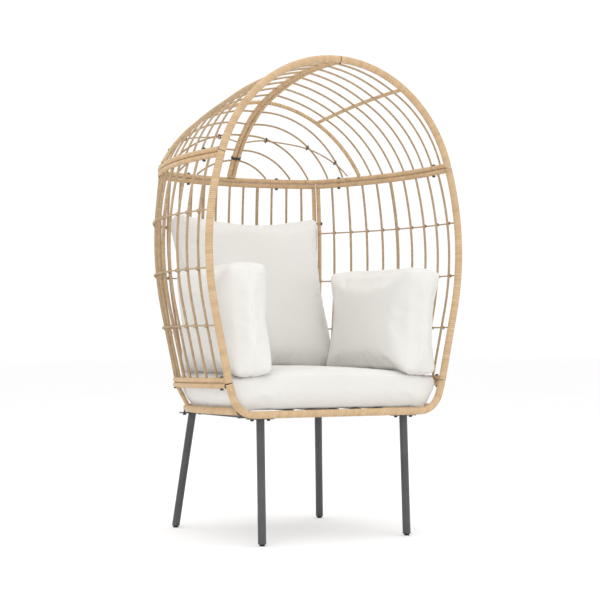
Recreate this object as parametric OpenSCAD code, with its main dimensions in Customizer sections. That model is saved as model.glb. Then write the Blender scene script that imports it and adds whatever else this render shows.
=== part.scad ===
// Standing egg chair: a wicker-wrapped steel shell on four legs, with four loose cushions.
// The front hoop stands in one upright plane. Heights are measured from the floor.

/* [Shell heights] */
// Height of the front hoop's centreline at its top
apex_z = 1474; // [1440:1:1500]
// Height of the joint between the hood and the three wall panels
shoulder_z = 1165; // [1150:1:1180]
// Height of the joint between the wall panels and the seat frame, at the front
split_z = 485; // [475:1:495]
// Height of the front sill's centreline
sill_z = 390; // [385:1:395]
// Backward slope of the seat frame in degrees
seat_slope = 0.8; // [0:0.1:1.2]

/* [Shell widths and depths] */
// Half width of the front hoop at the hood joint
shoulder_half = 407; // [400:1:414]
// Half width of the front hoop at the seat frame joint
split_half = 382; // [377:1:387]
// Half width between the rear corners at the hood joint
corner_half = 302; // [296:1:308]
// Distance from the front hoop back to the rear corners at the hood joint
corner_y = 648; // [640:1:656]
// Distance from the front hoop back to the middle of the hood joint
back_y = 727; // [722:1:732]
// Half width between the rear corners at the seat frame joint
low_corner_half = 266; // [262:1:270]
// Distance from the front hoop back to the rear corners at the seat frame joint
low_corner_y = 596; // [590:1:602]

/* [Tubes and wires] */
// Diameter of the wrapped front hoop and the sill
hoop_d = 23; // [21:0.5:24]
// Diameter of the wrapped rails and ridge tubes
rail_d = 16; // [14:0.5:16]
// Diameter of the corner posts
post_d = 14; // [12:0.5:14]
// Diameter of the slim upright rods
rod_d = 8; // [7:0.5:9]
// Diameter of the stout upright rods
stout_rod_d = 11; // [10:0.5:12]
// Diameter of the level ring wires outside the rods
ring_d = 5; // [4:0.5:5.5]
// Diameter of the hood wires
wire_d = 6.5; // [5.5:0.5:7]
// Diameter of the hood's middle arch
arch_d = 13; // [12:0.5:14]
// Diameter of the hood's cross tube
cross_d = 12; // [11:0.5:13]

/* [Legs] */
// Outside diameter of a leg tube
leg_d = 25; // [22:0.5:26]
// Wall thickness of a leg tube
leg_wall = 1.5; // [1.2:0.1:2]
// Height of the leg plates' underside above the floor
leg_top_z = 375; // [370:1:376]

/* [Cushions] */
// Thickness of the seat cushion at its edge
seat_thick = 98; // [90:1:104]
// Width of the back cushion
back_cushion_w = 540; // [520:2:550]
// Length of a side cushion, front to back
side_cushion_l = 400; // [380:5:405]

/* [Hidden] */

$fn = 32;
wicker = "burlywood";
thin_wicker = "tan";
metal = "dimgray";
dark = "black";
cloth = "whitesmoke";
gap = 0.4;
// Diameter of the wire that stiffens the hood behind the arch
stay_d = 5;

// ---- curves: two arcs of circle joined smoothly, [x, y, a, b, c, r1, r2, l1, l2] ----
// Headings are degrees from +Y towards +X. The curve starts at heading a and ends at c.
function two_arcs(x0, y0, x1, y1, a, b, c) =
    let (run = x1 - x0,
         rise = y1 - y0,
         ca = cos(b) - cos(a),
         cb = cos(c) - cos(b),
         sa = sin(a) - sin(b),
         sb = sin(b) - sin(c),
         det = ca * sb - cb * sa,
         r1 = (run * sb - cb * rise) / det,
         r2 = (ca * rise - run * sa) / det)
    [x0, y0, a, b, c, r1, r2, r1 * (a - b) * PI / 180, r2 * (b - c) * PI / 180];
// One arc in the same form, turn degrees each way off its chord
function one_arc(x0, y0, x1, y1, turn) =
    let (chord = atan2(x1 - x0, y1 - y0),
         r = norm([x1 - x0, y1 - y0]) / 2 / sin(turn))
    [x0, y0, chord + turn, chord - turn, chord - turn, r, r, r * turn * PI / 90, 0];
function arc_move(start, a, h, r) =
    [start.x + r * (cos(h) - cos(a)), start.y + r * (sin(a) - sin(h))];
function len_of(p) = p[7] + p[8];
function heading_at(p, l) =
    l <= p[7] ? p[2] - l / p[5] * 180 / PI : p[3] - (l - p[7]) / p[6] * 180 / PI;
function point_at(p, l) =
    l <= p[7] ? arc_move([p[0], p[1]], p[2], heading_at(p, l), p[5])
    : arc_move(arc_move([p[0], p[1]], p[2], p[3], p[5]), p[3], heading_at(p, l), p[6]);

// ---- the shell's outlines in plan, right half, front hoop at y = 0 ----
side_top = one_arc(shoulder_half, 0, corner_half, corner_y, 18.5);
side_low = one_arc(split_half, 0, low_corner_half, low_corner_y, 20);
seat_low = one_arc(341, hoop_d / 2 + gap, 240, 570, 18);
back_r = (pow(corner_half, 2) + pow(back_y - corner_y, 2)) / (2 * (back_y - corner_y));
low_back_r = 545;
seat_back_r = 480;
seat_low_end = point_at(seat_low, len_of(seat_low));
low_back_y = low_corner_y + low_back_r - sqrt(pow(low_back_r, 2) - pow(low_corner_half, 2));
function low_z(y, z) = z - y * tan(seat_slope);

panel_top_z = shoulder_z - rail_d / 2 - gap / 2;
hood_low_z = shoulder_z + rail_d / 2 + gap / 2;
panel_low_z = split_z + rail_d / 2 + gap / 2;
seat_up_z = split_z - rail_d / 2 - gap / 2;
seat_ring_z = 401;
strut_y = 425;

// ---- tubes ----
// Frame whose z axis runs from p to q and whose x axis faces out
module between(p, q, out) {
    z = (q - p) / norm(q - p);
    flat = out - (out * z) * z;
    x = flat / norm(flat);
    y = cross(z, x);
    multmatrix([[x.x, y.x, z.x, p.x], [x.y, y.y, z.y, p.y], [x.z, y.z, z.z, p.z]])
        children();
}
// Straight rod from p to q
module rod(p, q, d) {
    between(p, q, abs((q - p).x) > abs((q - p).z) ? [0, 0, 1] : [1, 0, 0])
        cylinder(d = d, h = norm(q - p));
}
// Bent tube from p to q that bulges by h towards out
module bowed(p, q, out, h, d) {
    c = norm(q - p);
    r = (c * c / 4 + h * h) / (2 * h);
    half = asin(c / 2 / r);
    between(p, q, out) translate([h - r, 0, c / 2]) rotate([90, 0, 0])
        rotate([0, 0, -half]) rotate_extrude(angle = 2 * half, $fn = 96)
        translate([r, 0]) circle(d = d);
}
function bow_r(c, a, b) = c * sin(a) / (1 - cos(a - b));
function bow_l(c, a, b) = (c - bow_r(c, a, b) * (sin(a) - sin(b))) / cos(a);
// Upright that leaves p straight, then curves over to q; a and b are its leans off the chord
module upright(p, q, out, a, b, d) {
    c = norm(q - p);
    r = bow_r(c, a, b);
    l = bow_l(c, a, b);
    between(p, q, out) rotate([0, a, 0]) {
        cylinder(d = d, h = l);
        translate([-r, 0, l]) rotate([90, 0, 0])
            rotate_extrude(angle = a - b, $fn = 96) translate([r, 0]) circle(d = d);
    }
}
// Tube along a two-arc outline between two distances, lying flat
module along(p, l0, l1, d) {
    first = p[8] > 0 ? min(l1, p[7]) : l1;
    flat_arc(p, l0, first, p[5], d);
    if (l1 > first) flat_arc(p, first + 0.0001, l1, p[6], d);
}
module flat_arc(p, l0, l1, r, d) {
    at = point_at(p, l0);
    translate([at.x, at.y, 0]) rotate([0, 0, -heading_at(p, l0)]) translate([-r, 0, 0])
        rotate_extrude(angle = (l1 - l0) / r * 180 / PI, $fn = 96)
        translate([r, 0]) circle(d = d);
}
// Level arc across the back with its top at y, from x = w round to x = end
module back_arc(r, y, w, d, end = undef) {
    half = asin(w / r);
    stop = end == undef ? half : -asin(end / r);
    translate([0, y - r, 0]) rotate([0, 0, 90 - half])
        rotate_extrude(angle = half + stop, $fn = 96) translate([r, 0]) circle(d = d);
}
module slope(z) {
    translate([0, 0, z]) rotate([-seat_slope, 0, 0]) children();
}
module place() {
    translate([0, -mid_y, 0]) children();
}
module left_of() {
    mirror([1, 0, 0]) children();
}

// ---- wall panels ----
// A place on a wall: fraction s from the front post (0) to the rear corner (1)
function side_foot(s) = let (q = point_at(side_low, s * len_of(side_low)))
    [q.x, q.y, low_z(q.y, panel_low_z)];
function side_head(s) = let (q = point_at(side_top, s * len_of(side_top)))
    [q.x, q.y, panel_top_z];
function side_normal(s) =
    let (h = (heading_at(side_low, s * len_of(side_low))
            + heading_at(side_top, s * len_of(side_top))) / 2)
    [cos(h), -sin(h), 0];
function back_foot(s) = let (t = s * asin(low_corner_half / low_back_r))
    [low_back_r * sin(t), low_back_y - low_back_r * (1 - cos(t)),
     low_z(low_back_y, panel_low_z)];
function back_head(s) = let (t = s * asin(corner_half / back_r))
    [back_r * sin(t), back_y - back_r * (1 - cos(t)), panel_top_z];
function back_normal(s) = let (t = s * asin(low_corner_half / low_back_r))
    [sin(t), cos(t), 0];
// At the rear corner both panels bulge the same way, so their posts stay side by side
corner_out = unit(side_normal(1) + back_normal(1));
function side_out(s) = let (w = pow(s, 4)) unit(side_normal(s) * (1 - w) + corner_out * w);
function back_out(s) = let (w = pow(s, 4))
    unit(back_normal(s) * (1 - w) + [sign(s) * corner_out.x, corner_out.y, 0] * w);
// Leans of an upright at its foot and its head, full at the front and less at the rear
function bulge(s) = 1 - 0.42 * s * s;
front_lean = [9.9, -19.4];
function foot_lean(s) = front_lean[0] * bulge(s);
function head_lean(s) = front_lean[1] * bulge(s);
function unit(v) = v / norm(v);
// Points of an upright that stops clear of the rails it meets
function trimmed(p, q, cut) = [p + unit(q - p) * cut, q - unit(q - p) * cut];
// Where an upright is at height z: [point, outward]
function on_bow(c, a, b, t) =
    let (l = bow_l(c, a, b), r = bow_r(c, a, b),
         up = l * cos(a))
    t <= up ? t * tan(a)
    : let (h = asin(sin(a) - (t - up) / r)) l * sin(a) + r * (cos(h) - cos(a));
function upright_at(p, q, out, a, b, z) =
    let (dir = unit(q - p),
         flat = unit(out - (out * dir) * dir),
         t = (z - p.z) / dir.z,
         x = on_bow(norm(q - p), a, b, t))
    p + dir * t + flat * x;

side_n = 10;
back_n = 6;
module side_rods() {
    for (k = [1 : side_n - 1]) {
        s = k / side_n;
        d = k == 5 ? stout_rod_d : rod_d;
        e = trimmed(side_foot(s), side_head(s), rail_d / 2 + gap);
        upright(e[0], e[1], side_out(s), foot_lean(s), head_lean(s), d);
    }
}
module side_post(s, d) {
    e = trimmed(side_foot(s), side_head(s), rail_d / 2 + gap);
    upright(e[0], e[1], side_out(s), foot_lean(s), head_lean(s), d);
}
module back_rod(s, d) {
    e = trimmed(back_foot(s), back_head(s), rail_d / 2 + gap);
    upright(e[0], e[1], back_out(s), foot_lean(1), head_lean(1), d);
}
module back_rods() {
    place() color(thin_wicker) for (k = [1 - back_n : back_n - 1])
        back_rod(k / back_n, abs(k) == 2 ? stout_rod_d : rod_d);
}
// Post places, each half a post away from the corner
side_post_s = 1 - (post_d / 2 + 1.5) / len_of(side_top);
back_post_s = 1 - (post_d / 2 + 1.5) / corner_half;
module back_posts() {
    place() color(wicker) both_sides() difference() {
        back_rod(back_post_s, post_d);
        corner_bolt_holes();
    }
}
module side_back_post() {
    side_post(side_post_s, post_d);
}
module side_front_post() {
    e = trimmed([split_half, 0, split_z], [shoulder_half, 0, shoulder_z], gap);
    upright(e[0], e[1], [1, 0, 0], front_lean[0], front_lean[1], hoop_d);
}
module side_top_rail() {
    translate([0, 0, panel_top_z])
        along(side_top, hoop_d / 2 + gap, len_of(side_top) - 3, rail_d);
}
module side_bottom_rail() {
    slope(panel_low_z) along(side_low, hoop_d / 2 + gap, len_of(side_low) - 3, rail_d);
}
module back_top_rail() {
    place() color(wicker) difference() {
        translate([0, 0, panel_top_z]) back_arc(back_r, back_y, corner_half - 2, rail_d);
        both_sides() shoulder_bolt_holes();
    }
}
module back_bottom_rail() {
    place() color(wicker) difference() {
        slope(panel_low_z)
            back_arc(low_back_r, low_back_y, low_corner_half - 2, rail_d);
        both_sides() split_bolt_holes();
    }
}

// ---- ring wires: a swept round wire just outside the rods ----
ring_zs = [992, 822, 654];
function side_ring_point(s, z) =
    upright_at(side_foot(s), side_head(s), side_out(s), foot_lean(s), head_lean(s), z)
    + side_out(s) * (stout_rod_d / 2 + ring_d / 2 + gap);
function back_ring_point(s, z) =
    upright_at(back_foot(s), back_head(s), back_out(s), foot_lean(1), head_lean(1), z)
    + back_out(s) * (stout_rod_d / 2 + ring_d / 2 + gap);
// Middle of the whole depth, from the front hoop's face to the upper back ring's
mid_y = (back_ring_point(0, ring_zs[0]).y + (ring_d - hoop_d) / 2) / 2;
module swept(points, d, sides) {
    n = len(points);
    tangent = [for (i = [0 : n - 1])
        unit(points[min(i + 1, n - 1)] - points[max(i - 1, 0)])];
    verts = [for (i = [0 : n - 1]) for (k = [0 : sides - 1])
        let (t = tangent[i],
             u = unit(cross([0, 0, 1], t)),
             v = cross(t, u),
             w = k * 360 / sides)
        points[i] + (u * cos(w) + v * sin(w)) * d / 2];
    walls = [for (i = [0 : n - 2]) for (k = [0 : sides - 1])
        let (a = i * sides + k, b = i * sides + (k + 1) % sides)
        [a, a + sides, b + sides, b]];
    start = [for (k = [0 : sides - 1]) k];
    end = [for (k = [0 : sides - 1]) n * sides - 1 - k];
    polyhedron(points = verts, faces = concat(walls, [start], [end]));
}
module side_rings() {
    s0 = 0.022;
    s1 = 0.975;
    for (z = ring_zs)
        swept([for (i = [0 : 20]) side_ring_point(s0 + (s1 - s0) * i / 20, z)], ring_d, 8);
}
module back_rings() {
    place() color(thin_wicker) for (z = ring_zs)
        swept([for (i = [-10 : 10]) back_ring_point(0.945 * i / 10, z)], ring_d, 8);
}

// ---- hood ----
ridge_x = rail_d / 2 + gap / 2;
ridge_side_x = ridge_x + rail_d / 2 + gap;
rail_up_z = hood_low_z + rail_d / 2 + 1.6;
// The ridge seen from the side: height against distance back from the front hoop
ridge = two_arcs(apex_z - 4, hoop_d / 2 + gap, hood_low_z + rail_d / 2 + gap, back_y - 10,
    4, -18, -65);
hoop_top = one_arc(shoulder_half, shoulder_z, 0, apex_z,
    90 - atan2(shoulder_half, apex_z - shoulder_z));
// The first coordinate of a two-arc curve where its second is y
function across(p, y) =
    let (q = arc_move([p[0], p[1]], p[2], p[3], p[5]))
    y <= q.y ? p[0] + p[5] * (cos(asin(sin(p[2]) - (y - p[1]) / p[5])) - cos(p[2]))
    : q.x + p[6] * (cos(asin(sin(p[3]) - (y - q.y) / p[6])) - cos(p[3]));
arch_y = 476;
wire_n = 9;
arch_curve = one_arc(across(side_top, arch_y), rail_up_z, ridge_side_x,
    across(ridge, arch_y), 28);
// Cross tube: from the front hoop back to the middle arch, bowed up
cross_a = let (q = point_at(hoop_top, 0.545 * len_of(hoop_top)))
    [q.x, hoop_d / 2 + gap, q.y];
cross_b = let (q = point_at(arch_curve, 0.56 * len_of(arch_curve)))
    [q.x, arch_y - arch_d / 2 - gap, q.y];
cross_out = unit([0.55, 0, 0.84]);
cross_bulge = 12;
function cross_point(y) = let (t = (y - cross_a.y) / (cross_b.y - cross_a.y))
    cross_a + (cross_b - cross_a) * t + cross_out * cross_bulge * 4 * t * (1 - t);
module hood_hoop() {
    rotate([90, 0, 0]) along(hoop_top, gap, len_of(hoop_top) - gap / 2, hoop_d);
}
module hood_ridge() {
    swept([for (i = [0 : 24]) let (q = point_at(ridge, len_of(ridge) * i / 24))
        [ridge_x, q.y, q.x]], rail_d, 16);
}
module hood_rail() {
    difference() {
        translate([0, 0, hood_low_z]) {
            along(side_top, hoop_d / 2 + gap, len_of(side_top) + 2, rail_d);
            back_arc(back_r, back_y, corner_half + 2, rail_d, gap / 2);
        }
        shoulder_bolt_holes();
    }
}
module hood_arch() {
    translate([0, arch_y, 0]) rotate([90, 0, 0])
        along(arch_curve, 0, len_of(arch_curve), arch_d);
}
module hood_cross_tube() {
    bowed(cross_a, cross_b, cross_out, cross_bulge, cross_d);
}
// Wires from the rail up to the cross tube, and on from the cross tube to the ridge
module hood_front_wires() {
    for (k = [1 : wire_n - 1]) {
        y = arch_y * k / wire_n;
        t = k / wire_n;
        foot = [across(side_top, y), y, rail_up_z];
        mid = cross_point(y);
        top = [ridge_side_x + 0.3, y, across(ridge, y)];
        cut = cross_d / 2 + 0.8;
        bowed(foot, mid - unit(mid - foot) * cut, [1, 0, 0.5], 28 - 9 * t, wire_d);
        bowed(mid + unit(top - mid) * cut, top, [0.3, 0, 1], 14 - 6 * t, wire_d);
    }
}
// Rear wires fan out from the ridge: [distance back on the ridge, foot]
function rear_side_foot(y) = [across(side_top, y), y, rail_up_z];
function rear_back_foot(x) = [x, back_y - back_r + sqrt(pow(back_r, 2) - x * x), rail_up_z];
rear_tops = [527, 582, 621, 663, 687];
rear_rises = [0.15, 0.16, 0.13, 0.12, 0.08];
rear_feet = [rear_side_foot(545), rear_side_foot(604), rear_back_foot(277),
    rear_back_foot(218), rear_back_foot(134)];
function rear_top(i) = [ridge_side_x + 0.3, rear_tops[i], across(ridge, rear_tops[i])];
function rear_bulge(i) = rear_rises[i] * norm(rear_top(i) - rear_feet[i]);
module hood_rear_wires() {
    for (i = [0 : 4])
        bowed(rear_feet[i], rear_top(i), [0, 0, 1], rear_bulge(i), wire_d);
}
// A place on a rear wire, t from its foot, set in by the stay's distance
function on_rear(i, t, inset) =
    let (p = rear_feet[i], q = rear_top(i), dir = unit(q - p),
         out = unit([0, 0, 1] - dir.z * dir))
    p + (q - p) * t + out * (rear_bulge(i) * 4 * t * (1 - t) - inset);
stay_inset = wire_d / 2 + stay_d / 2 + gap;
stay_points = [[ridge_side_x + stay_d / 2, 640, across(ridge, 640) - 2],
    on_rear(2, 0.76, stay_inset), on_rear(1, 0.36, stay_inset),
    on_rear(0, 0.14, stay_inset),
    [across(side_top, 521) - 4, 521, hood_low_z + rail_d / 2 + stay_d / 2 + 1]];
// Smooth run through five points
function smooth_run(q, steps) = [for (i = [0 : 3]) for (j = [0 : steps - (i < 3 ? 1 : 0)])
    let (a = q[max(i - 1, 0)], b = q[i], c = q[i + 1], d = q[min(i + 2, 4)], t = j / steps)
    ((2 * b) + (c - a) * t + (2 * a - 5 * b + 4 * c - d) * t * t
        + (3 * b - a - 3 * c + d) * t * t * t) / 2];
module hood_stay() {
    swept(smooth_run(stay_points, 5), stay_d, 8);
}
module ties() {
    for (i = [[0, 0.14], [1, 0.36], [2, 0.76]]) {
        c = on_rear(i[0], i[1], stay_inset / 2);
        dir = unit(rear_top(i[0]) - rear_feet[i[0]]);
        along_stay = unit(stay_points[4 - i[0]] - stay_points[2 - i[0]]);
        axis = unit(dir - along_stay);
        between(c, c + axis, [0, 0, 1])
            rotate_extrude() translate([stay_inset + 1.6, -1.5]) square([1.4, 3]);
    }
}
module wire_ties() {
    place() color(dark) {
        ties();
        left_of() ties();
    }
}
// Flat band round both ridge tubes
module ridge_strap() {
    h = atan2(across(ridge, 683) - across(ridge, 679), 4);
    place() color(dark) translate([0, 681, across(ridge, 681)]) rotate([h, 0, 0])
        rotate([90, 0, 0]) linear_extrude(height = 9, center = true) difference() {
        union() {
            square([2 * ridge_x, rail_d + 3.6], center = true);
            for (s = [-1, 1]) translate([s * ridge_x, 0]) circle(d = rail_d + 3.6);
        }
        square([2 * ridge_x, rail_d + 1], center = true);
        for (s = [-1, 1]) translate([s * ridge_x, 0]) circle(d = rail_d + 1);
    }
}

// ---- bolts: the origin is the middle of the two tubes that they hold together ----
bolt_d = 6;
bolt_hole = 6.6;
module bolt(grip) {
    cylinder(d = bolt_d, h = 2 * grip + 9, center = true);
    translate([0, 0, grip + gap / 2]) intersection() {
        cylinder(d = 13, h = 3.6);
        translate([0, 0, -5.4]) sphere(r = 9);
    }
}
module bolt_nut(grip) {
    translate([0, 0, -grip - 5.2]) difference() {
        cylinder(d = 11.5, h = 5, $fn = 6);
        translate([0, 0, -1]) cylinder(d = bolt_hole, h = 8);
    }
}
// Sites on the right half: [x, y, turn]
function side_site(p, l) = let (q = point_at(p, l)) [q.x, q.y];
shoulder_sites = [side_site(side_top, 94), side_site(side_top, 0.855 * len_of(side_top)),
    [172, back_y - back_r + sqrt(pow(back_r, 2) - 172 * 172)]];
split_sites = [side_site(side_low, 36), side_site(side_low, 0.93 * len_of(side_low)),
    [120, low_back_y - low_back_r + sqrt(pow(low_back_r, 2) - 120 * 120)]];
module both_sides() {
    children();
    left_of() children();
}
module at_sites(sites) {
    for (q = sites) translate([q.x, q.y, 0]) children();
}
module shoulder_bolt_holes() {
    at_sites(shoulder_sites) cylinder(d = bolt_hole, h = 3000);
}
module shoulder_bolts() {
    place() color(dark) both_sides() translate([0, 0, shoulder_z])
        at_sites(shoulder_sites) bolt(rail_d + gap / 2);
}
module shoulder_nuts() {
    place() color(dark) both_sides() translate([0, 0, shoulder_z])
        at_sites(shoulder_sites) bolt_nut(rail_d + gap / 2);
}
module split_bolt_holes() {
    slope(split_z) at_sites(split_sites) cylinder(d = bolt_hole, h = 90, center = true);
}
module split_bolts() {
    place() color(dark) both_sides() slope(split_z)
        at_sites(split_sites) bolt(rail_d + gap / 2);
}
module split_nuts() {
    place() color(dark) both_sides() slope(split_z)
        at_sites(split_sites) bolt_nut(rail_d + gap / 2);
}
// Bolts through the two posts at each rear corner
corner_zs = [1028, 640];
function side_post_at(z) = upright_at(side_foot(side_post_s), side_head(side_post_s),
    side_out(side_post_s), foot_lean(side_post_s), head_lean(side_post_s), z);
function back_post_at(z) = upright_at(back_foot(back_post_s), back_head(back_post_s),
    back_out(back_post_s), foot_lean(1), head_lean(1), z);
module at_corners() {
    for (z = corner_zs) {
        p = side_post_at(z);
        q = back_post_at(z);
        between((p + q) / 2, (p + q) / 2 + unit(p - q), [0, 0, 1]) children();
    }
}
corner_grip = norm(side_post_at(900) - back_post_at(900)) / 2 + post_d / 2;
module corner_bolt_holes() {
    at_corners() cylinder(d = bolt_hole, h = 60, center = true);
}
module corner_bolts() {
    place() color(dark) both_sides() at_corners() bolt(corner_grip);
}
module corner_nuts() {
    place() color(dark) both_sides() at_corners() bolt_nut(corner_grip);
}

// ---- seat frame ----
sill_r = 75;
sill_lean = 17;
sill_end = split_half - (split_z - sill_z - sill_r + sill_r * sin(sill_lean))
    * tan(sill_lean) - sill_r * cos(sill_lean);
sill_top = [split_half, 0, split_z] - [sin(sill_lean), 0, cos(sill_lean)] * 1.2;
sill_side = concat([for (i = [0 : 8]) let (w = (90 - sill_lean) * i / 8)
    [sill_end + sill_r * sin(w), 0, sill_z + sill_r * (1 - cos(w))]], [sill_top]);
sill_points = concat([for (i = [9 : -1 : 0]) [-sill_side[i].x, 0, sill_side[i].z]],
    sill_side);
module sill_hoop() {
    place() color(wicker) swept(sill_points, hoop_d, 20);
}
module seat_upper_rail() {
    place() color(wicker) difference() {
        slope(seat_up_z) {
            both_sides() along(side_low, hoop_d / 2 + gap, len_of(side_low) + 2, rail_d);
            back_arc(low_back_r, low_back_y, low_corner_half + 2, rail_d);
        }
        both_sides() split_bolt_holes();
    }
}
seat_low_back_y = seat_low_end.y + seat_back_r
    - sqrt(pow(seat_back_r, 2) - pow(seat_low_end.x, 2));
module seat_lower_rail() {
    place() color(wicker) slope(seat_ring_z) {
        both_sides() along(seat_low, 0, len_of(seat_low) + 2, hoop_d);
        back_arc(seat_back_r, seat_low_back_y, seat_low_end.x + 2, hoop_d);
    }
}
function ring_point(x, y) = [x, y, low_z(y, seat_ring_z)];
function upper_point(x, y) = [x, y, low_z(y, seat_up_z)];
module strut(p, q) {
    u = unit(q - p);
    rod(p + u * (hoop_d / 2 + gap), q - u * (rail_d / 2 + gap), post_d);
}
module seat_struts() {
    back_x = 120;
    low_back = seat_low_back_y - seat_back_r + sqrt(pow(seat_back_r, 2) - pow(back_x, 2));
    up_back = low_back_y - low_back_r + sqrt(pow(low_back_r, 2) - pow(back_x, 2));
    place() color(wicker) both_sides() {
        strut(ring_point(across(seat_low, strut_y), strut_y),
            upper_point(across(side_low, strut_y), strut_y));
        strut(ring_point(back_x - 30, low_back + 5), upper_point(back_x - 30, up_back + 5));
    }
}
plate_t = 4;
bar_d = 20;
bar_z = leg_top_z + plate_t + bar_d / 2 + gap / 2;
front_leg_top = [257, 37, leg_top_z];
front_leg_foot = [259, 21.5, 6];
back_leg_top = [240, 530, leg_top_z];
back_leg_foot = [275, 580, 6];
bolt_reach = 28;
module leg_bolt_sites() {
    for (q = [front_leg_top, back_leg_top]) for (s = [-1, 1])
        translate([q.x + s * bolt_reach, q.y, 0]) children();
}
module seat_cross_bars() {
    place() color(metal) difference() {
        for (q = [front_leg_top, back_leg_top]) {
            half = across(seat_low, q.y) - hoop_d / 2 - 1.5;
            translate([-half, q.y, bar_z]) rotate([0, 90, 0])
                cylinder(d = bar_d, h = 2 * half);
        }
        both_sides() leg_bolt_sites() cylinder(d = bolt_hole, h = 600);
    }
}
slat_z = bar_z + bar_d / 2 + gap / 2;
module seat_slats() {
    place() color(metal) for (x = [-160 : 80 : 160])
        translate([x - 15, front_leg_top.y - 8, slat_z])
            cube([30, back_leg_top.y - front_leg_top.y + 16, 3]);
}
module leg_plates() {
    place() color(metal) both_sides() difference() {
        for (q = [front_leg_top, back_leg_top])
            translate([q.x - 40, q.y - 15, leg_top_z]) cube([80, 30, plate_t]);
        leg_bolt_sites() cylinder(d = bolt_hole, h = 600);
    }
}
module leg_brace() {
    a = front_leg_top + [0, 15 + gap, 2];
    b = back_leg_top + [0, -15 - gap, 2];
    turn = atan2(a.x - b.x, b.y - a.y);
    translate(a) rotate([0, 0, turn])
        translate([-10, 0, -2]) cube([20, norm(b - a), 5]);
}
module leg(top, foot, low) {
    u = unit(top - foot);
    p = foot - u * 20;
    q = top + u * 20;
    intersection() {
        difference() {
            rod(p, q, leg_d);
            rod(p - u, q + u, leg_d - 2 * leg_wall);
        }
        translate([top.x - 100, top.y - 150, low])
            cube([200, 300, leg_top_z - gap / 2 - low]);
    }
}
module glide(top, foot) {
    u = unit(top - foot);
    intersection() {
        union() {
            rod(foot - u * 20, foot - u * 0.5, leg_d - 9);
            rod(foot - u * 1, foot + u * 16, leg_d - 2 * leg_wall - 0.6);
        }
        translate([foot.x - 50, foot.y - 50, 0]) cube([100, 100, 60]);
    }
}
module leg_glides() {
    place() color(dark) both_sides() {
        glide(front_leg_top, front_leg_foot);
        glide(back_leg_top, back_leg_foot);
    }
}
module leg_bolts() {
    place() color(dark) both_sides() leg_bolt_sites() {
        translate([0, 0, leg_top_z - gap]) cylinder(d = bolt_d, h = plate_t + bar_d - 2);
        translate([0, 0, leg_top_z - gap / 2 - 5]) cylinder(d = 12, h = 5, $fn = 6);
    }
}

// ---- cushions: plain solids of the outer size ----
module rounded_box(size, r) {
    hull() for (x = [-1, 1]) for (y = [-1, 1]) for (z = [-1, 1])
        translate([x * (size.x / 2 - r), y * (size.y / 2 - r), z * (size.z / 2 - r)])
        sphere(r = r, $fn = 24);
}
seat_base_z = slat_z + 3 + gap;
function back_edge(r, y, x) = y - r + sqrt(pow(r, 2) - x * x);
// Outline of one level of the seat cushion, set in from a side curve and a back curve
module seat_layer(side, r, y, w, inset) {
    right = concat(
        [for (t = [15 : 105 : 540]) [across(side, t) - inset, t]],
        [for (x = [w - 30 : -45 : 20]) [x, back_edge(r, y, x) - inset]]);
    linear_extrude(height = 2) polygon(concat(right,
        [for (i = [len(right) - 1 : -1 : 0]) [-right[i].x, right[i].y]]));
}
module seat_cushion() {
    place() color(cloth) hull() {
        translate([0, 0, seat_base_z])
            seat_layer(seat_low, seat_back_r, seat_low_back_y, seat_low_end.x, 17);
        translate([0, 0, seat_base_z + seat_thick - 30])
            seat_layer(side_low, low_back_r, low_back_y, low_corner_half, 15);
        translate([0, 0, seat_base_z + seat_thick - 2])
            seat_layer(side_low, low_back_r, low_back_y, low_corner_half, 24);
    }
}
seat_top_z = seat_base_z + seat_thick;
module back_cushion() {
    place() color(cloth) translate([0, 550, seat_top_z + 267]) rotate([-16.6, 0, 0])
        rounded_box([back_cushion_w, 140, 545], 65);
}
module side_cushion() {
    translate([295, 208, seat_top_z + 172]) rotate([0, 4, 5])
        rounded_box([140, side_cushion_l, 335], 55);
}

// ---- left and right pieces ----
module right_piece(c) {
    place() color(c) children();
}
module left_piece(c) {
    place() color(c) left_of() children();
}
module drilled_top_rail() {
    difference() {
        side_top_rail();
        shoulder_bolt_holes();
    }
}
module drilled_bottom_rail() {
    difference() {
        side_bottom_rail();
        split_bolt_holes();
    }
}
module drilled_post() {
    difference() {
        side_back_post();
        corner_bolt_holes();
    }
}
module leg_brace_left() { left_piece(metal) leg_brace(); }
module leg_brace_right() { right_piece(metal) leg_brace(); }
module leg_front_left() { left_piece(metal) leg(front_leg_top, front_leg_foot, 6.4); }
module leg_front_right() { right_piece(metal) leg(front_leg_top, front_leg_foot, 6.4); }
module leg_back_left() { left_piece(metal) leg(back_leg_top, back_leg_foot, 6.4); }
module leg_back_right() { right_piece(metal) leg(back_leg_top, back_leg_foot, 6.4); }
module side_front_post_left() { left_piece(wicker) side_front_post(); }
module side_front_post_right() { right_piece(wicker) side_front_post(); }
module side_top_rail_left() { left_piece(wicker) drilled_top_rail(); }
module side_top_rail_right() { right_piece(wicker) drilled_top_rail(); }
module side_bottom_rail_left() { left_piece(wicker) drilled_bottom_rail(); }
module side_bottom_rail_right() { right_piece(wicker) drilled_bottom_rail(); }
module side_back_post_left() { left_piece(wicker) drilled_post(); }
module side_back_post_right() { right_piece(wicker) drilled_post(); }
module side_rods_left() { left_piece(thin_wicker) side_rods(); }
module side_rods_right() { right_piece(thin_wicker) side_rods(); }
module side_rings_left() { left_piece(thin_wicker) side_rings(); }
module side_rings_right() { right_piece(thin_wicker) side_rings(); }
module hood_hoop_left() { left_piece(wicker) hood_hoop(); }
module hood_hoop_right() { right_piece(wicker) hood_hoop(); }
module hood_ridge_left() { left_piece(wicker) hood_ridge(); }
module hood_ridge_right() { right_piece(wicker) hood_ridge(); }
module hood_rail_left() { left_piece(wicker) hood_rail(); }
module hood_rail_right() { right_piece(wicker) hood_rail(); }
module hood_arch_left() { left_piece(wicker) hood_arch(); }
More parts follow.
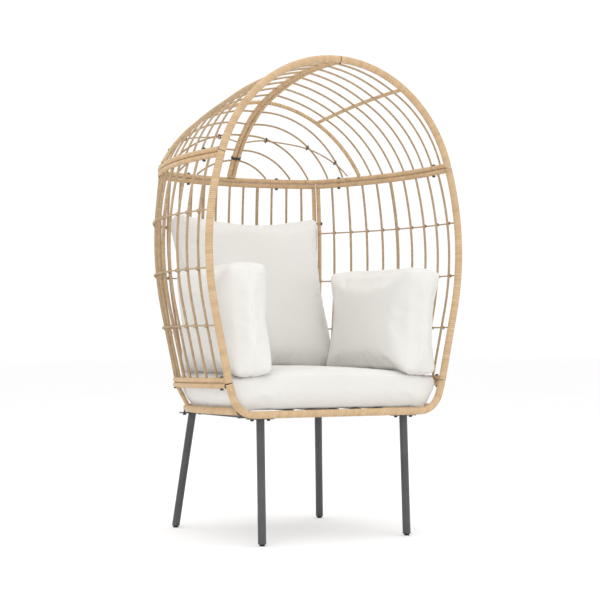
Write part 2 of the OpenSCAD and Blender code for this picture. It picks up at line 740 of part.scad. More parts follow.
module hood_arch_right() { right_piece(wicker) hood_arch(); }
module hood_cross_tube_left() { left_piece(wicker) hood_cross_tube(); }
module hood_cross_tube_right() { right_piece(wicker) hood_cross_tube(); }
module hood_front_wires_left() { left_piece(thin_wicker) hood_front_wires(); }
module hood_front_wires_right() { right_piece(thin_wicker) hood_front_wires(); }
module hood_rear_wires_left() { left_piece(thin_wicker) hood_rear_wires(); }
module hood_rear_wires_right() { right_piece(thin_wicker) hood_rear_wires(); }
module hood_stay_left() { left_piece(thin_wicker) hood_stay(); }
module hood_stay_right() { right_piece(thin_wicker) hood_stay(); }
module side_cushion_left() { left_piece(cloth) side_cushion(); }
module side_cushion_right() { right_piece(cloth) side_cushion(); }

sill_hoop();
seat_upper_rail();
seat_lower_rail();
seat_struts();
seat_cross_bars();
seat_slats();
leg_plates();
leg_brace_left();
leg_brace_right();
leg_front_left();
leg_front_right();
leg_back_left();
leg_back_right();
leg_glides();
leg_bolts();
side_front_post_left();
side_front_post_right();
side_top_rail_left();
side_top_rail_right();
side_bottom_rail_left();
side_bottom_rail_right();
side_back_post_left();
side_back_post_right();
side_rods_left();
side_rods_right();
side_rings_left();
side_rings_right();
back_top_rail();
back_bottom_rail();
back_posts();
back_rods();
back_rings();
hood_hoop_left();
hood_hoop_right();
hood_ridge_left();
hood_ridge_right();
hood_rail_left();
hood_rail_right();
hood_arch_left();
hood_arch_right();
hood_cross_tube_left();
hood_cross_tube_right();
hood_front_wires_left();
hood_front_wires_right();
hood_rear_wires_left();
hood_rear_wires_right();
hood_stay_left();
hood_stay_right();
ridge_strap();
wire_ties();
split_bolts();
split_nuts();
shoulder_bolts();
shoulder_nuts();
corner_bolts();
corner_nuts();
seat_cushion();
back_cushion();
side_cushion_left();
side_cushion_right();
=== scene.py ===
import math

import bmesh
import bpy
import numpy as np
from mathutils import Matrix, Vector, noise


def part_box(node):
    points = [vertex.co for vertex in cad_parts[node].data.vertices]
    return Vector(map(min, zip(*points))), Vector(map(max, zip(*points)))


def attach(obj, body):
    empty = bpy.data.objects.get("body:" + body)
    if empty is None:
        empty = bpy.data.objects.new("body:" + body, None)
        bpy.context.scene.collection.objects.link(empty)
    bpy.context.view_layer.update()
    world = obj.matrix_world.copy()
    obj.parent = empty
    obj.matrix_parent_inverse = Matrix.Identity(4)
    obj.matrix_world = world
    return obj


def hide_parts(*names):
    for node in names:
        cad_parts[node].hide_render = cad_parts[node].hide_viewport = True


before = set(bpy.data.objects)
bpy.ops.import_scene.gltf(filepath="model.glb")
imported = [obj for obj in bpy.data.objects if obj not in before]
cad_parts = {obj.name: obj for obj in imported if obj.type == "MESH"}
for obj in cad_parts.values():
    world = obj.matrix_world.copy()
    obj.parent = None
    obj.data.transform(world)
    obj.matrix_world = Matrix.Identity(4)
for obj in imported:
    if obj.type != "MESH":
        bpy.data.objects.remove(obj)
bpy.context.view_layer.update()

# ---- Camera: a long lens low in front of the chair ----
# It stands about 4.9 m off, 30 degrees round to the sitter's right and a little above the
# seat, and looks up slightly.
camera = bpy.data.objects.new("camera", bpy.data.cameras.new("camera"))
bpy.context.scene.collection.objects.link(camera)
camera.data.lens = 90.85
camera.data.sensor_width = 36
camera.location = (-2.4375, -4.3026, 0.5905)
camera.rotation_euler = (math.radians(91.784), 0, math.radians(-30.263))
bpy.context.scene.camera = camera


# ---- Legs and under-seat steel: round tube, flat plates and bars ----
# Welded steel with a charcoal powder coat that has a fine, slightly pebbled surface.
class Socket:
    """One output of a material's nodes; sums and products of sockets add Math nodes."""

    def __init__(self, socket):
        self.socket = socket

    def node(self, kind, settings, inputs, output=0):
        tree = self.socket.id_data
        made = tree.nodes.new("ShaderNode" + kind)
        stops = settings.pop("stops", None)
        for key, value in settings.items():
            setattr(made, key, value)
        if stops:
            ramp = made.color_ramp.elements
            ramp[0].position, ramp[0].color = stops[0]
            ramp[1].position, ramp[1].color = stops[-1]
            for position, colour in stops[1:-1]:
                ramp.new(position).color = colour
        for key, value in inputs.items():
            if isinstance(value, Socket):
                tree.links.new(value.socket, made.inputs[key])
            else:
                made.inputs[key].default_value = value
        return Socket(made.outputs[output])

    def maths(self, operation, a, b=0.0):
        return self.node("Math", {"operation": operation}, {0: a, 1: b})

    def __add__(self, other):
        return self.maths("ADD", self, other)

    def __radd__(self, other):
        return self.maths("ADD", other, self)

    def __sub__(self, other):
        return self.maths("SUBTRACT", self, other)

    def __rsub__(self, other):
        return self.maths("SUBTRACT", other, self)

    def __mul__(self, other):
        return self.maths("MULTIPLY", self, other)

    def __rmul__(self, other):
        return self.maths("MULTIPLY", other, self)

    def feed(self, shader, name):
        self.socket.id_data.links.new(self.socket, shader.inputs[name])


def new_finish(name, **constants):
    """A new material, its Principled shader, and the place on the surface."""
    material = bpy.data.materials.new(name)
    material.use_nodes = True
    tree = material.node_tree
    shader = tree.nodes["Principled BSDF"]
    for key, value in constants.items():
        shader.inputs[key.replace("_", " ")].default_value = value
    place = Socket(tree.nodes.new("ShaderNodeTexCoord").outputs["Object"])
    return material, shader, place


def grain(place, scale, detail=3.0, roughness=0.5):
    return place.node("TexNoise", {}, {
        "Vector": place, "Scale": scale, "Detail": detail, "Roughness": roughness})


def powder_coat(name, dark, light, roughness, pebble):
    material, shader, place = new_finish(name, Coat_Weight=0.08)
    cloud = grain(place, 14.0)
    cloud.node("ValToRGB", {"stops": [(0.35, dark), (0.7, light)]}, {"Fac": cloud}).feed(
        shader, "Base Color")
    fine = grain(place, 1400.0, 2.0)
    (roughness + fine * 0.14).feed(shader, "Roughness")
    fine.node("Bump", {}, {"Strength": pebble, "Distance": 0.0004, "Height": fine}).feed(
        shader, "Normal")
    return material


charcoal = powder_coat("charcoal_coat", (0.050, 0.051, 0.054, 1), (0.068, 0.069, 0.072, 1), 0.42,
                       0.22)


def give(nodes, material):
    for node in nodes:
        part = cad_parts[node]
        part.data.materials.clear()
        part.data.materials.append(material)


give(["leg_front_left", "leg_front_right", "leg_back_left", "leg_back_right", "leg_plates",
      "leg_brace_left", "leg_brace_right", "seat_cross_bars", "seat_slats"], charcoal)

# ---- Glides: black moulded feet pushed up into the leg tubes ----
# Soft, matt plastic, lightly scuffed.
glide_rubber, shader, place = new_finish("glide_plastic", Specular_IOR_Level=0.3)
scuff = grain(place, 160.0)
scuff.node("ValToRGB", {"stops": [(0.4, (0.012, 0.012, 0.013, 1)),
                                  (0.75, (0.035, 0.034, 0.033, 1))]}, {"Fac": scuff}).feed(
    shader, "Base Color")
(0.62 + scuff * 0.2).feed(shader, "Roughness")
give(["leg_glides"], glide_rubber)

# ---- Bolts, nuts, ridge band and stay ties: black coated hardware ----
# The coat is smoother and darker than the legs'.
# The same black also caps the ends of the wound tubes, as painted shade in the gaps between
# them.
black_coat_and_gap_shade = powder_coat("black_coat_and_gap_shade", (0.012, 0.012, 0.013, 1), (0.022, 0.022, 0.023, 1), 0.34,
                         0.1)
give(["leg_bolts", "split_bolts", "split_nuts", "shoulder_bolts", "shoulder_nuts",
      "corner_bolts", "corner_nuts", "ridge_strap", "wire_ties"], black_coat_and_gap_shade)

# ---- Seat frame: sill hoop, upper rail, lower rail and struts ----
# Steel tube wound edge to edge with one flat strip of tan resin wicker. Sizes are in mm: y runs
# back from the plane of the front hoop, and heights are from the floor.
GAP = 0.4
HOOP_D, RAIL_D, POST_D = 23.0, 16.0, 14.0
SPLIT_Z, SHOULDER_Z, SILL_Z = 485.0, 1165.0, 390.0
SEAT_SLOPE = math.tan(math.radians(0.8))
FRONT_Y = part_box("sill_hoop")[0].y + HOOP_D / 2000
OUT_X = np.array([1.0, 0.0, 0.0])
UP = np.array([0.0, 0.0, 1.0])


def unit(vector):
    vector = np.array(vector, float)
    return vector / np.linalg.norm(vector)


def bow(start, end, out, rise, steps=40):
    """Points along an arc from start to end that swells by rise towards out."""
    start, end = np.array(start, float), np.array(end, float)
    chord = np.linalg.norm(end - start)
    ahead = (end - start) / chord
    side = unit(out - np.dot(out, ahead) * ahead)
    radius = (chord ** 2 / 4 + rise ** 2) / (2 * rise)
    half = math.asin(chord / 2 / radius)
    w = np.linspace(-half, half, steps)[:, None]
    return (start + end) / 2 + side * (rise - radius + radius * np.cos(w)) + ahead * (
        radius * np.sin(w))


def flat_arc(x0, y0, x1, y1, turn, z=0.0):
    """A level arc of the plan that turns by twice turn degrees and swells towards +X."""
    rise = math.hypot(x1 - x0, y1 - y0) / 2 * math.tan(math.radians(turn) / 2)
    return bow((x0, y0, z), (x1, y1, z), OUT_X, rise, 60)


def travel(points):
    return np.concatenate([[0], np.cumsum(np.linalg.norm(np.diff(points, axis=0), axis=1))])


def at_share(points, share):
    """The point a share of the way along a run, from 0 to 1."""
    run = travel(points)
    return np.array([np.interp(share * run[-1], run, points[:, k]) for k in range(3)])


def at_level(points, axis, level):
    """The point where a run's coordinate on axis, which only grows or only falls, is level."""
    order = np.argsort(points[:, axis])
    return np.array([np.interp(level, points[order, axis], points[order, k])
                     for k in range(3)])


def cut_ends(points, first, last):
    """A run shortened by first at its start and last at its end."""
    run = travel(points)
    stops = np.linspace(first, run[-1] - last, max(12, len(points)))
    return np.array([[np.interp(s, run, points[:, k]) for k in range(3)] for s in stops])


def sloped(points, z):
    """A level run laid on the seat frame's slope, with its front at height z."""
    points = points.copy()
    points[:, 2] = z - points[:, 1] * SEAT_SLOPE
    return points


def left(points):
    return points * np.array([-1, 1, 1])


def round_the_back(side, radius, back_y):
    """A whole run from the right front, round the back and to the left front."""
    w = math.asin(side[-1, 0] / radius)
    turn = np.linspace(w, -w, 50)
    back = np.stack([radius * np.sin(turn), back_y - radius + radius * np.cos(turn),
                     np.full(50, side[-1, 2])], 1)
    return np.concatenate([side[:-1], back, left(side)[::-1][1:]])


def eased(points, spread=9.0):
    """The run at even steps, with any corner between two arcs turned into a short bend."""
    run = travel(points)
    stops = np.linspace(0, run[-1], max(12, int(run[-1] / 4)))
    even = np.array([[np.interp(s, run, points[:, k]) for k in range(3)] for s in stops])
    for _ in range(int(spread / 3)):
        even[1:-1] = (even[:-2] + 2 * even[1:-1] + even[2:]) / 4
    return even


def carried_sides(points):
    """Unit vectors across a run, carried along it without twist."""
    tangents = np.gradient(points, axis=0)
    tangents /= np.linalg.norm(tangents, axis=1)[:, None]
    side = unit(np.cross(tangents[0], UP if abs(tangents[0][2]) < 0.9 else OUT_X))
    sides = []
    for t in tangents:
        side = unit(side - np.dot(side, t) * t)
        sides.append(side)
    return tangents, np.array(sides)


# Each turn of the strip has four rows of points: one in the groove and three across its face.
ROWS = 4
ROW_PLACE = np.array([0.0, 0.13, 0.5, 0.87])
STRIP_SPACING = 31.0


def wind(bm, points, diameter, pitch, groove, number):
    """Adds to bm a tube that is wound with a strip pitch wide, with a groove between turns.

    Its two end caps have the piece's second, dark material, which paints shade into the gaps
    between tube ends.
    """
    points = eased(points)
    run = travel(points)
    turns = max(3, round(run[-1] / pitch))
    width = run[-1] / turns
    around = 18 if diameter > 12 else 10
    sheet = bmesh.new()
    sheet.loops.layers.uv.new("strip")
    bmesh.ops.create_grid(sheet, x_segments=ROWS * (turns + 1), y_segments=around, size=1)
    mesh = bpy.data.meshes.new("strip")
    sheet.to_mesh(mesh)
    sheet.free()
    flat = np.zeros(len(mesh.vertices) * 3, np.float32)
    mesh.vertices.foreach_get("co", flat)
    flat = flat.reshape(-1, 3)
    row = np.rint((flat[:, 0] + 1) / 2 * ROWS * (turns + 1)).astype(int)
    round_share = (flat[:, 1] + 1) / 2
    place = (row // ROWS + ROW_PLACE[row % ROWS] + round_share - 1) * width
    inside = (place > 0) & (place < run[-1])
    s = np.clip(place, 0, run[-1])
    radius = np.where(inside & (row % ROWS > 0), diameter / 2, diameter / 2 - groove)
    tangents, sides = carried_sides(points)
    centre = np.stack([np.interp(s, run, points[:, k]) for k in range(3)], 1)
    t = np.stack([np.interp(s, run, tangents[:, k]) for k in range(3)], 1)
    t /= np.linalg.norm(t, axis=1)[:, None]
    u = np.stack([np.interp(s, run, sides[:, k]) for k in range(3)], 1)
    u -= t * np.sum(u * t, 1)[:, None]
    u /= np.linalg.norm(u, axis=1)[:, None]
    v = np.cross(t, u)
    angle = 2 * math.pi * round_share
    made = centre + radius[:, None] * (u * np.cos(angle)[:, None] + v * np.sin(angle)[:, None])
    made = made / 1000 + np.array([0, FRONT_Y, 0])
    corner = np.zeros(len(mesh.loops), np.int32)
    mesh.loops.foreach_get("vertex_index", corner)
    across_strip = row / ROWS + STRIP_SPACING * number
    uv = np.stack([across_strip[corner], (across_strip + round_share)[corner]], 1)
    mesh.uv_layers["strip"].data.foreach_set("uv", uv.astype(np.float32).ravel())
    mesh.vertices.foreach_set("co", made.astype(np.float32).ravel())
    tube = bmesh.new()
    tube.from_mesh(mesh)
    bpy.data.meshes.remove(mesh)
    bmesh.ops.remove_doubles(tube, verts=tube.verts, dist=2e-6)
    ends = bmesh.ops.holes_fill(tube, edges=[e for e in tube.edges if e.is_boundary], sides=0)
    # The end caps take the second, black material: painted shade in the gaps between tube ends.
    for face in ends["faces"]:
        face.material_index = 1
    bmesh.ops.recalc_face_normals(tube, faces=tube.faces)
    whole = bpy.data.meshes.new("tube")
    tube.to_mesh(whole)
    tube.free()
    bm.from_mesh(whole)
    bpy.data.meshes.remove(whole)


def wicker(name, light, middle, dark, painted_groove_shade):
    """Resin strip: streaks along the strip, turns of differing tone, painted shade in the
    grooves.
    """
    material, shader, place = new_finish(name, Specular_IOR_Level=0.32)
    uv = place.node("UVMap", {"uv_map": "strip"}, {})
    turn = uv.node("SeparateXYZ", {}, {"Vector": uv})
    length = Socket(turn.socket.node.outputs["Y"])
    streak_place = turn.node("CombineXYZ", {}, {"X": turn * 7.0, "Y": length * 0.9})
    streaks = grain(streak_place, 1.0, 4.0, 0.62)
    whole_turn = turn.maths("FLOOR", turn + 0.5)
    tone_place = turn.node("CombineXYZ", {}, {"X": whole_turn * 0.37, "Y": length * 0.06})
    tone = grain(tone_place, 1.0, 2.0, 0.6)
    shade = streaks * 0.55 + tone * 0.45
    colour = shade.node("ValToRGB", {"stops": [(0.3, dark), (0.5, middle), (0.68, light)]},
                        {"Fac": shade})
    # Painted shade: near the grooves between turns the colour darkens towards the groove colour.
    edge = turn.maths("ABSOLUTE", turn.maths("FRACT", turn + 0.5) - 0.5)
    open_strip = edge.node("MapRange", {"interpolation_type": "SMOOTHSTEP"},
                           {"Value": edge, "From Min": 0.03, "From Max": 0.16})
    colour.node("Mix", {"data_type": "RGBA"},
                {"Factor": open_strip, "A": painted_groove_shade, "B": colour}, 2).feed(
        shader, "Base Color")
    (0.72 - streaks * 0.28).feed(shader, "Roughness")
    height = streaks * 0.5 + open_strip * 0.5
    height.node("Bump", {}, {"Strength": 0.35, "Distance": 0.0006, "Height": height}).feed(
        shader, "Normal")
    return material


broad_strip = wicker("broad_strip", (0.69, 0.505, 0.315, 1), (0.575, 0.402, 0.232, 1),
                     (0.41, 0.268, 0.142, 1), (0.245, 0.148, 0.074, 1))


def piece_of(name, bm, material, slot, *nodes):
    """Makes bm a piece of the chair that stands for CAD nodes."""
    bmesh.ops.triangulate(bm, faces=[f for f in bm.faces if len(f.verts) > 4])
    mesh = bpy.data.meshes.new(name)
    bm.to_mesh(mesh)
    bm.free()
    mesh.shade_smooth()
    mesh.materials.append(material)
    piece = bpy.data.objects.new(name, mesh)
    bpy.context.scene.collection.objects.link(piece)
    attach(piece, "root")
    if nodes:
        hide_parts(*nodes)
    return piece


counter = iter(range(1, 1000))


def wound(node, runs, material=broad_strip, slot="wicker", pitch=6.2, groove=0.55):
    """A piece that stands for one node: each run is its points and its tube's diameter."""
    bm = bmesh.new()
    bm.loops.layers.uv.new("strip")
    for points, diameter in runs:
        wind(bm, points, diameter, pitch, groove, next(counter))
    piece = piece_of("wound_" + node, bm, material, slot, node)
    # The second material blacks the tube end caps: painted shade in the gaps between tube ends.
    piece.data.materials.append(black_coat_and_gap_shade)
    return piece


SILL_R, SILL_LEAN = 75.0, math.radians(17)
SPLIT_HALF, SHOULDER_HALF = 382.0, 407.0
sill_end = SPLIT_HALF - (SPLIT_Z - SILL_Z - SILL_R + SILL_R * math.sin(SILL_LEAN)) * math.tan(
    SILL_LEAN) - SILL_R * math.cos(SILL_LEAN)
sill_turn = np.linspace(0, math.pi / 2 - SILL_LEAN, 14)
sill_side = np.stack([sill_end + SILL_R * np.sin(sill_turn), 0 * sill_turn,
                      SILL_Z + SILL_R * (1 - np.cos(sill_turn))], 1)
sill_top = np.array([[SPLIT_HALF - 1.8 * math.sin(SILL_LEAN), 0, SPLIT_Z - 1.6]])
sill_side = np.concatenate([sill_side, sill_top])
wound("sill_hoop", [(np.concatenate([left(sill_side)[::-1], sill_side]), HOOP_D)])

LOW_CORNER_X, LOW_CORNER_Y, LOW_TURN = 266, 596, 20
LOW_BACK_R = 545.0
side_low = flat_arc(SPLIT_HALF, 0, LOW_CORNER_X, LOW_CORNER_Y, LOW_TURN)
low_back_y = LOW_CORNER_Y + LOW_BACK_R - math.sqrt(LOW_BACK_R ** 2 - LOW_CORNER_X ** 2)
seat_up_z = SPLIT_Z - RAIL_D / 2 - GAP / 2
behind_hoop = HOOP_D / 2 + GAP
upper = round_the_back(cut_ends(side_low, behind_hoop, 0), LOW_BACK_R, low_back_y)
wound("seat_upper_rail", [(sloped(upper, seat_up_z), RAIL_D)])

SEAT_FRONT_X, SEAT_CORNER_X, SEAT_CORNER_Y, SEAT_TURN = 341, 240, 570, 18
SEAT_BACK_R = 480.0
SEAT_RING_Z = 401.0
seat_side = flat_arc(SEAT_FRONT_X, behind_hoop, SEAT_CORNER_X, SEAT_CORNER_Y, SEAT_TURN)
seat_back_y = SEAT_CORNER_Y + SEAT_BACK_R - math.sqrt(SEAT_BACK_R ** 2 - SEAT_CORNER_X ** 2)
lower = sloped(round_the_back(seat_side, SEAT_BACK_R, seat_back_y), SEAT_RING_Z)
wound("seat_lower_rail", [(lower, HOOP_D)])


def low_z(y, z):
    """Height at y of a level that follows the seat frame's slope and is z at the front."""
    return z - y * SEAT_SLOPE


def strut(foot, head):
    """A straight run whose ends reach 2 mm into the wound strip of the two rails."""
    ahead = unit(head - foot)
    return np.linspace(foot + ahead * (HOOP_D / 2 - 2), head - ahead * (RAIL_D / 2 - 2), 20)


def arc_back(radius, back_y, x):
    """The y at x of a rear arc that is furthest back, at back_y, on the middle line."""
    return back_y - radius + math.sqrt(radius ** 2 - x ** 2)


STRUT_Y = 425.0
BACK_STRUT_X, BACK_STRUT_ARC_X, BACK_STRUT_OUT = 90, 120, 5
strut_runs = []
seat_foot, seat_head = at_level(seat_side, 1, STRUT_Y), at_level(side_low, 1, STRUT_Y)
seat_foot[2], seat_head[2] = low_z(STRUT_Y, SEAT_RING_Z), low_z(STRUT_Y, seat_up_z)
back_foot_y = arc_back(SEAT_BACK_R, seat_back_y, BACK_STRUT_ARC_X) + BACK_STRUT_OUT
back_head_y = arc_back(LOW_BACK_R, low_back_y, BACK_STRUT_ARC_X) + BACK_STRUT_OUT
for foot, head in ((seat_foot, seat_head),
                   (np.array([BACK_STRUT_X, back_foot_y, low_z(back_foot_y, SEAT_RING_Z)]),
                    np.array([BACK_STRUT_X, back_head_y, low_z(back_head_y, seat_up_z)]))):
    strut_runs.append((strut(foot, head), POST_D))
    strut_runs.append((left(strut(foot, head)), POST_D))
wound("seat_struts", strut_runs)

# ---- Wall panels: two sides and a back, each a bent frame with upright rods ----
# Rails and posts have the broad strip; the rods are thin steel with a narrow, greyer strip.
# Three level ring wires run outside the rods and are lashed to each one.
CORNER_HALF, CORNER_Y, BACK_Y, TOP_TURN = 302.0, 648.0, 727.0, 18.5
side_top = flat_arc(SHOULDER_HALF, 0, CORNER_HALF, CORNER_Y, TOP_TURN)
back_r = (CORNER_HALF ** 2 + (BACK_Y - CORNER_Y) ** 2) / (2 * (BACK_Y - CORNER_Y))
panel_top_z = SHOULDER_Z - RAIL_D / 2 - GAP / 2
panel_low_z = SPLIT_Z + RAIL_D / 2 + GAP / 2
ROD_D, STOUT_D, RING_D = 8.0, 11.0, 5.0
narrow_strip = wicker("narrow_strip", (0.55, 0.405, 0.25, 1), (0.43, 0.305, 0.185, 1),
                      (0.295, 0.197, 0.114, 1), (0.185, 0.118, 0.062, 1))
THIN = {"material": narrow_strip, "slot": "thin_wicker", "pitch": 5.4, "groove": 0.35}


def upright(foot, head, out, foot_lean, head_lean):
    """Points of a rod that leaves foot straight, then curves over to head; leans are degrees."""
    chord = np.linalg.norm(head - foot)
    ahead = (head - foot) / chord
    side = unit(out - np.dot(out, ahead) * ahead)
    a, b = math.radians(foot_lean), math.radians(head_lean)
    radius = chord * math.sin(a) / (1 - math.cos(a - b))
    straight = (chord - radius * (math.sin(a) - math.sin(b))) / math.cos(a)
    w = np.linspace(0, a - b, 50)
    x = np.concatenate([np.zeros(12), radius * (np.cos(w) - 1)])
    z = np.concatenate([np.linspace(0, straight, 13)[:-1], straight + radius * np.sin(w)])
    return foot + side * (x * math.cos(a) + z * math.sin(a))[:, None] + ahead * (
        -x * math.sin(a) + z * math.cos(a))[:, None]


def heading(outline, share, turn):
    """Heading of a flat arc at a share of its length, in radians from +Y towards +X."""
    dx, dy = outline[-1, 0] - outline[0, 0], outline[-1, 1] - outline[0, 1]
    return math.atan2(dx, dy) + math.radians(turn) * (1 - 2 * share)


FOOT_LEAN, HEAD_LEAN = 9.9, -19.4


def bulge(share):
    """The walls bulge less towards the rear corners."""
    return 1 - 0.42 * share ** 2


def side_normal(share):
    h = (heading(side_low, share, LOW_TURN) + heading(side_top, share, TOP_TURN)) / 2
    return np.array([math.cos(h), -math.sin(h), 0])


def back_normal(share):
    w = share * math.asin(LOW_CORNER_X / LOW_BACK_R)
    return np.array([math.sin(w), math.cos(w), 0])


# Both panels bulge the same way at the rear corner, so their posts stay side by side.
corner_out = unit(side_normal(1) + back_normal(1))


def side_out(share):
    w = share ** 4
    return unit(side_normal(share) * (1 - w) + corner_out * w)


def side_upright(share, trim=RAIL_D / 2 - 2):
    foot, head = at_share(side_low, share), at_share(side_top, share)
    foot[2], head[2] = low_z(foot[1], panel_low_z), panel_top_z
    ahead = unit(head - foot)
    return upright(foot + ahead * trim, head - ahead * trim, side_out(share),
                   FOOT_LEAN * bulge(share), HEAD_LEAN * bulge(share))


def back_out(share):
    w, way = share ** 4, np.array([np.sign(share), 1, 1])
    return unit(back_normal(share) * (1 - w) + corner_out * way * w)


def back_upright(share, trim=RAIL_D / 2 - 2):
    low = share * math.asin(LOW_CORNER_X / LOW_BACK_R)
    high = share * math.asin(CORNER_HALF / back_r)
    foot = np.array([LOW_BACK_R * math.sin(low),
                     low_back_y - LOW_BACK_R * (1 - math.cos(low)),
                     low_z(low_back_y, panel_low_z)])
    head = np.array([back_r * math.sin(high), BACK_Y - back_r * (1 - math.cos(high)),
                     panel_top_z])
    ahead = unit(head - foot)
    return upright(foot + ahead * trim, head - ahead * trim, back_out(share),
                   FOOT_LEAN * bulge(1), HEAD_LEAN * bulge(1))


RING_LEVELS = (992.0, 822.0, 654.0)
RING_OUT = STOUT_D / 2 + RING_D / 2 + GAP
LASH_SLANT, LASH_THICK, LASH_SIDE, LASH_WIDE = 0.8, 0.11, 2.2, 1.7
LASH_OUT = 0.7


def lash(bm, point, ahead, out, rod_d):
    """Adds to bm two crossed turns of strip that tie a ring wire to an upright."""
    uv = bm.loops.layers.uv.verify()
    across = np.cross(ahead, out)
    middle = point + out * (RING_OUT - rod_d / 2 + RING_D / 2) / 2
    for slant in (-1, 1):
        along = unit(ahead + across * LASH_SLANT * slant)
        normal = np.cross(out, along)
        loop = bmesh.new()
        loop.loops.layers.uv.new("strip")
        section = bmesh.ops.create_circle(
            loop, radius=1, segments=6, matrix=Matrix.Rotation(math.pi / 2, 4, "X"))["verts"]
        bmesh.ops.scale(loop, verts=section, vec=(LASH_THICK, 1, 1))
        bmesh.ops.translate(loop, verts=section, vec=(1, 0, 0))
        bmesh.ops.spin(loop, geom=loop.verts[:] + loop.edges[:], cent=(0, 0, 0),
                       axis=(0, 0, 1), angle=2 * math.pi, steps=12, use_merge=True)
        bmesh.ops.recalc_face_normals(loop, faces=loop.faces)
        size = Matrix.Diagonal(((rod_d + RING_D) / 2 + LASH_OUT, rod_d / 2 + LASH_SIDE,
                                LASH_WIDE, 1))
        turned = Matrix((out, along, normal)).transposed().to_4x4()
        place = Matrix.Translation(Vector(middle))
        row = Matrix.Translation((0, FRONT_Y, 0)) @ Matrix.Scale(0.001, 4)
        bmesh.ops.transform(loop, verts=loop.verts, matrix=row @ place @ turned @ size)
        layer = loop.loops.layers.uv.active
        for face in loop.faces:
            for corner in face.loops:
                corner[layer].uv = (0.5, corner.vert.co.z * 40)
        mesh = bpy.data.meshes.new("lashing")
        loop.to_mesh(mesh)
        loop.free()
        bm.from_mesh(mesh)
        bpy.data.meshes.remove(mesh)


def rings(node, runs, crossings, flip=False):
    """A panel's ring wires and the lashings that hold them: one piece for one node."""
    bm = bmesh.new()
    bm.loops.layers.uv.new("strip")
    mirror = np.array([-1.0, 1.0, 1.0]) if flip else np.ones(3)
    for points in runs:
        wind(bm, points * mirror, RING_D, THIN["pitch"], 0.25, next(counter))
    for rod, out, rod_d in crossings:
        for level in RING_LEVELS:
            point = at_level(rod, 2, level)
            ahead = unit(at_level(rod, 2, level + 4) - at_level(rod, 2, level - 4))
            flat_out = unit(out - np.dot(out, ahead) * ahead)
            lash(bm, point * mirror, ahead * mirror, flat_out * mirror, rod_d)
    piece = piece_of("wound_" + node, bm, narrow_strip, "thin_wicker", node)
    # The second material blacks the ring wires' end caps: painted shade in the gaps at their
    # ends.
    piece.data.materials.append(black_coat_and_gap_shade)
    return piece


# One side rod in the middle, and one on each side of the back, are stouter than the rest.
SIDE_RODS, BACK_RODS = 10, 6
SIDE_STOUT, BACK_STOUT, POST_ROOM = 5, 2, 1.5
post_share = 1 - (POST_D / 2 + POST_ROOM) / travel(side_top)[-1]
back_post_share = 1 - (POST_D / 2 + POST_ROOM) / CORNER_HALF
side_rods = [(side_upright(k / SIDE_RODS), STOUT_D if k == SIDE_STOUT else ROD_D)
             for k in range(1, SIDE_RODS)]
front_post = upright(np.array([SPLIT_HALF, 0, SPLIT_Z + 1]),
                     np.array([SHOULDER_HALF, 0, SHOULDER_Z - 1]), OUT_X, FOOT_LEAN,
                     HEAD_LEAN)
side_post = side_upright(post_share)


def side_ring(level):
    shares = np.linspace(0.022, 0.985, 40)
    return np.array([at_level(side_upright(s), 2, level) + side_out(s) * RING_OUT
                     for s in shares])


side_rings = [side_ring(level) for level in RING_LEVELS]
side_crossings = [(points, side_out((k + 1) / SIDE_RODS), d)
                  for k, (points, d) in enumerate(side_rods)]
side_crossings.append((side_post, side_out(post_share), POST_D))
for name, flip in (("right", False), ("left", True)):
    turned = left if flip else np.copy
    wound("side_front_post_" + name, [(turned(front_post), HOOP_D)])
    wound("side_top_rail_" + name, [(turned(cut_ends(side_top, behind_hoop - 2, 3))
                                     + UP * panel_top_z, RAIL_D)])
    wound("side_bottom_rail_" + name, [
        (turned(sloped(cut_ends(side_low, behind_hoop - 2, 3), panel_low_z)), RAIL_D)])
    wound("side_back_post_" + name, [(turned(side_post), POST_D)])
    wound("side_rods_" + name, [(turned(points), d) for points, d in side_rods], **THIN)
    rings("side_rings_" + name, side_rings, side_crossings, flip)


def back_arc(radius, back_y, half, z, slope=0.0):
    w = math.asin(half / radius)
    turn = np.linspace(-w, w, 60)
    y = back_y - radius + radius * np.cos(turn)
    return np.stack([radius * np.sin(turn), y, z - y * slope], 1)


wound("back_top_rail", [(back_arc(back_r, BACK_Y, CORNER_HALF - 2, panel_top_z), RAIL_D)])
wound("back_bottom_rail", [
    (back_arc(LOW_BACK_R, low_back_y, LOW_CORNER_X - 2, panel_low_z, SEAT_SLOPE), RAIL_D)])
wound("back_posts", [(back_upright(s * back_post_share), POST_D) for s in (-1, 1)])
back_rods = [(back_upright(k / BACK_RODS), STOUT_D if abs(k) == BACK_STOUT else ROD_D)
             for k in range(1 - BACK_RODS, BACK_RODS)]
wound("back_rods", back_rods, **THIN)
back_shares = np.linspace(-0.97, 0.97, 41)
back_rings = [np.array([at_level(back_upright(s), 2, level) + back_out(s) * RING_OUT
                        for s in back_shares]) for level in RING_LEVELS]
back_crossings = [(points, back_out((k + 1 - BACK_RODS) / BACK_RODS), d)
                  for k, (points, d) in enumerate(back_rods)]
for s in (-back_post_share, back_post_share):
    back_crossings.append((back_upright(s), back_out(s), POST_D))
rings("back_rings", back_rings, back_crossings)

